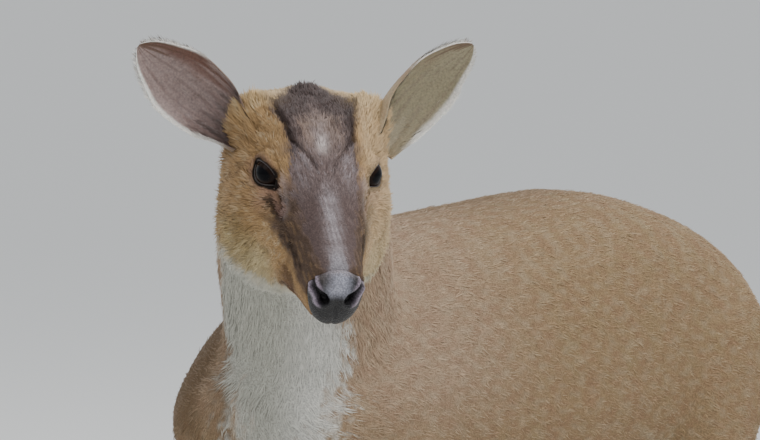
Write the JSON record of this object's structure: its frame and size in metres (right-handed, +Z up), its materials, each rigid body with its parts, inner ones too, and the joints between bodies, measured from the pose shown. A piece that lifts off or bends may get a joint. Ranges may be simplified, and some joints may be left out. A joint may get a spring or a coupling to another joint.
{
  "type": "muntjac",
  "caption": "Standing muntjac doe at life size, head turned to its left and ears raised, with short coat, hanging tail and cloven hooves.",
  "frame": {"origin": "middle of the bounding box in plan, on the floor under the hooves", "axes": "+Z up, the doe faces -Y, its own left side is +X, the body lies along Y"},
  "size_m": [0.2806, 0.7006, 0.5611],
  "materials": {
    "body_coat": "short dense fur",
    "face_coat": "short dense fur",
    "leg_coat": "short close fur",
    "ear_coat": "thin skin with fine hair",
    "nose_pad": "moist and cobbled",
    "eye": "wet gloss",
    "hoof": "worn horn"
  },
  "bodies": {
    "root": {"shoulders": "body_coat", "barrel": "body_coat", "haunches": "body_coat", "neck": "body_coat", "head": "face_coat", "nose": "nose_pad", "tail": "body_coat", "ear_left": "ear_coat", "ear_right": "ear_coat", "foreleg_left_forearm": "leg_coat", "foreleg_left_cannon": "leg_coat", "foreleg_left_foot": "leg_coat", "foreleg_left_dewclaw_inner": "hoof", "foreleg_left_dewclaw_outer": "hoof", "foreleg_right_forearm": "leg_coat", "foreleg_right_cannon": "leg_coat", "foreleg_right_foot": "leg_coat", "foreleg_right_dewclaw_inner": "hoof", "foreleg_right_dewclaw_outer": "hoof", "hindleg_left_shank": "leg_coat", "hindleg_left_cannon": "leg_coat", "hindleg_left_foot": "leg_coat", "hindleg_left_dewclaw_inner": "hoof", "hindleg_left_dewclaw_outer": "hoof", "hindleg_right_shank": "leg_coat", "hindleg_right_cannon": "leg_coat", "hindleg_right_foot": "leg_coat", "hindleg_right_dewclaw_inner": "hoof", "hindleg_right_dewclaw_outer": "hoof", "eye_left": "eye", "eye_right": "eye", "foreleg_left_hoof_inner": "hoof", "foreleg_left_hoof_outer": "hoof", "foreleg_right_hoof_inner": "hoof", "foreleg_right_hoof_outer": "hoof", "hindleg_left_hoof_inner": "hoof", "hindleg_left_hoof_outer": "hoof", "hindleg_right_hoof_inner": "hoof", "hindleg_right_hoof_outer": "hoof"}
  },
  "joints": []
}
